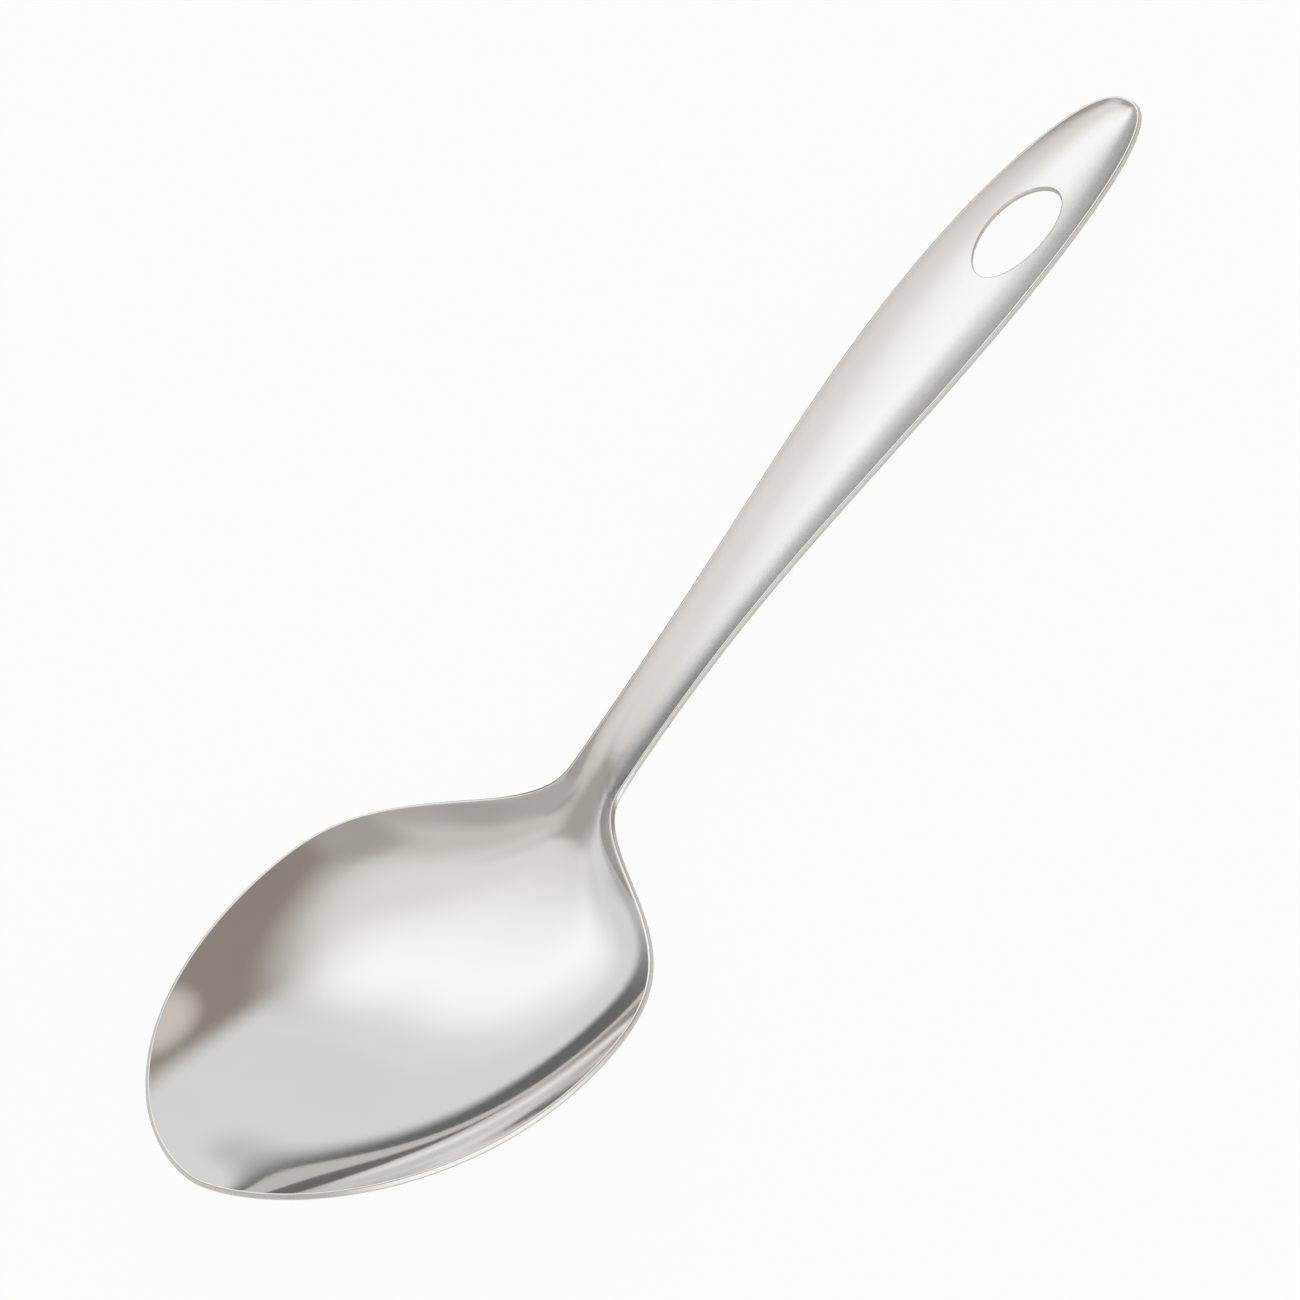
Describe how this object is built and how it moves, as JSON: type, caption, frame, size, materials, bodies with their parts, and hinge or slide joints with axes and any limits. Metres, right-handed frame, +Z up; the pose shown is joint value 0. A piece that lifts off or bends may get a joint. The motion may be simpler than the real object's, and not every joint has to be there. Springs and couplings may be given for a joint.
{
  "type": "serving spoon",
  "caption": "Serving spoon pressed from polished stainless steel sheet, with a broad pointed-oval bowl, a narrow bent neck and a dished handle with an oval hanging hole",
  "frame": {"origin": "Under the middle of the spoon's bounding box, at the height of the table it rests on.", "axes": "+X runs along the spoon to the tip of its handle, +Y to one side, +Z up from the table."},
  "size_m": [0.279, 0.0784, 0.033],
  "materials": {
    "stainless": "bright polished"
  },
  "bodies": {
    "root": {"bowl": "stainless", "handle": "stainless"}
  },
  "joints": []
}
